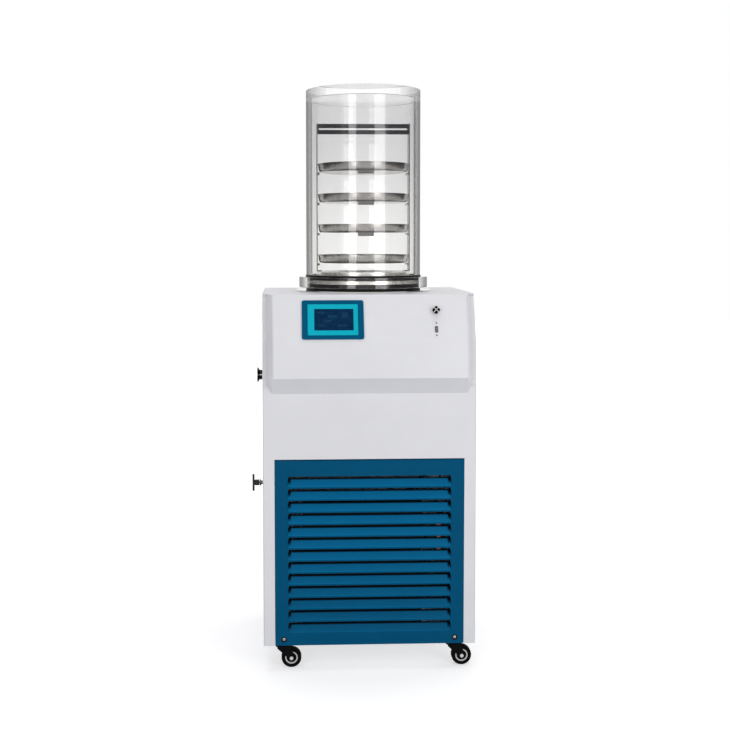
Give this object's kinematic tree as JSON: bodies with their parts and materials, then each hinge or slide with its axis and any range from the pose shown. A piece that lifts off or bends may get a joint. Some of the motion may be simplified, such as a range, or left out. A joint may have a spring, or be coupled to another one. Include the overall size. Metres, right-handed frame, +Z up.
{
  "type": "freeze dryer",
  "caption": "Floor-standing laboratory freeze dryer: white cabinet on casters with a sloped touchscreen console and louvred panel, under a clear drum holding a rack of trays.",
  "frame": {"origin": "centre of the object's bounding box in plan, on the floor under the caster wheels", "axes": "+Z up; the console and louvre panel face -Y; +X is to the right as seen from the front"},
  "size_m": [0.555, 0.4976, 1.459],
  "materials": {
    "white_paint": "satin white powder coat",
    "blue_paint": "satin petrol-blue powder coat",
    "stainless": "polished stainless steel",
    "rack_steel": "pressed and brushed stainless steel",
    "plated_steel": "plated steel, satin",
    "zinc": "zinc-coated sheet, dull",
    "copper": "drawn copper, slightly dull",
    "aluminium": "mill finish",
    "black_paint": "semi-gloss black enamel",
    "caster_metal": "black coated pressed steel",
    "wheel": "matte black",
    "black_rubber": "matte black elastomer",
    "black_plastic": "fine-textured black",
    "screen_frame": "smooth petrol blue",
    "screen": "lit display glass, cyan and navy",
    "clear_acrylic": "clear polished acrylic",
    "clear_hose": "translucent flexible hose",
    "foam": "foamed in place, matte cream"
  },
  "bodies": {
    "cabinet": {"back_panel": "white_paint", "base_pan": "zinc", "base_ring": "clear_acrylic", "caster_front_left_plate": "caster_metal", "caster_front_right_plate": "caster_metal", "caster_rear_left_plate": "caster_metal", "caster_rear_right_plate": "caster_metal", "compressor": "black_paint", "condenser": "aluminium", "console_cover": "white_paint", "control_box": "zinc", "discharge_line": "copper", "drain_line": "clear_hose", "drain_valve": "plated_steel", "drum_gasket": "black_rubber", "drum_lid": "clear_acrylic", "drum_tube": "clear_acrylic", "evaporator_coil": "copper", "fan_motor": "black_paint", "fan_shroud": "zinc", "filter_drier": "copper", "front_panel": "white_paint", "left_side_panel": "white_paint", "liquid_line": "copper", "louvre_panel": "blue_paint", "louvre_screw_left": "plated_steel", "louvre_screw_right": "plated_steel", "mains_inlet": "black_plastic", "mid_shelf": "zinc", "rack_base": "rack_steel", "rack_post_left": "rack_steel", "rack_post_right": "rack_steel", "rack_top_bar": "rack_steel", "right_side_panel": "white_paint", "screen_bezel": "screen_frame", "screen_glass": "screen", "suction_line": "copper", "top_cover": "white_paint", "trap_insulation": "foam", "trap_pot": "stainless", "trap_seal": "black_rubber", "tray_1": "rack_steel", "tray_2": "rack_steel", "tray_3": "rack_steel", "tray_4": "rack_steel", "usb_socket": "black_plastic", "vacuum_port": "stainless", "vent_valve": "stainless"},
    "drain_handle": {"drain_handle": "plated_steel"},
    "vent_knob": {"vent_knob": "black_plastic"},
    "fan_rotor": {"fan_blade": "aluminium"},
    "mains_rocker_body": {"mains_rocker": "black_plastic"},
    "fork_front_left": {"caster_front_left_fork": "caster_metal"},
    "wheel_front_left": {"caster_front_left_wheel": "wheel"},
    "fork_front_right": {"caster_front_right_fork": "caster_metal"},
    "wheel_front_right": {"caster_front_right_wheel": "wheel"},
    "fork_rear_left": {"caster_rear_left_fork": "caster_metal"},
    "wheel_rear_left": {"caster_rear_left_wheel": "wheel"},
    "fork_rear_right": {"caster_rear_right_fork": "caster_metal"},
    "wheel_rear_right": {"caster_rear_right_wheel": "wheel"}
  },
  "joints": [
    {"name": "drain_handle_turn", "type": "hinge", "parent": "cabinet", "child": "drain_handle", "pos_m": [-0.263, -0.0518, 0.445], "axis": [-1, 0, 0], "range_deg": [0, 90]},
    {"name": "vent_knob_turn", "type": "hinge", "parent": "cabinet", "child": "vent_knob", "pos_m": [0.175, -0.21866, 0.89869], "axis": [0, -0.9285, 0.3714], "range_deg": [0, 270]},
    {"name": "fan_spin", "type": "hinge", "parent": "cabinet", "child": "fan_rotor", "pos_m": [0, -0.0758, 0.262], "axis": [0, 1, 0], "continuous": true},
    {"name": "mains_rocker_tilt", "type": "hinge", "parent": "cabinet", "child": "mains_rocker_body", "pos_m": [0.165, 0.2442, 0.576], "axis": [-1, 0, 0], "range_deg": [0, 9]},
    {"name": "swivel_front_left", "type": "hinge", "parent": "cabinet", "child": "fork_front_left", "pos_m": [-0.199, -0.1598, 0.0554], "axis": [0, 0, 1], "continuous": true},
    {"name": "roll_front_left", "type": "hinge", "parent": "fork_front_left", "child": "wheel_front_left", "pos_m": [-0.179, -0.1598, 0.025], "axis": [0, 1, 0], "continuous": true},
    {"name": "swivel_front_right", "type": "hinge", "parent": "cabinet", "child": "fork_front_right", "pos_m": [0.229, -0.1598, 0.0554], "axis": [0, 0, 1], "continuous": true},
    {"name": "roll_front_right", "type": "hinge", "parent": "fork_front_right", "child": "wheel_front_right", "pos_m": [0.249, -0.1598, 0.025], "axis": [0, 1, 0], "continuous": true},
    {"name": "swivel_rear_left", "type": "hinge", "parent": "cabinet", "child": "fork_rear_left", "pos_m": [-0.199, 0.2022, 0.0554], "axis": [0, 0, 1], "continuous": true},
    {"name": "roll_rear_left", "type": "hinge", "parent": "fork_rear_left", "child": "wheel_rear_left", "pos_m": [-0.179, 0.2022, 0.025], "axis": [0, 1, 0], "continuous": true},
    {"name": "swivel_rear_right", "type": "hinge", "parent": "cabinet", "child": "fork_rear_right", "pos_m": [0.229, 0.2022, 0.0554], "axis": [0, 0, 1], "continuous": true},
    {"name": "roll_rear_right", "type": "hinge", "parent": "fork_rear_right", "child": "wheel_rear_right", "pos_m": [0.249, 0.2022, 0.025], "axis": [0, 1, 0], "continuous": true}
  ]
}
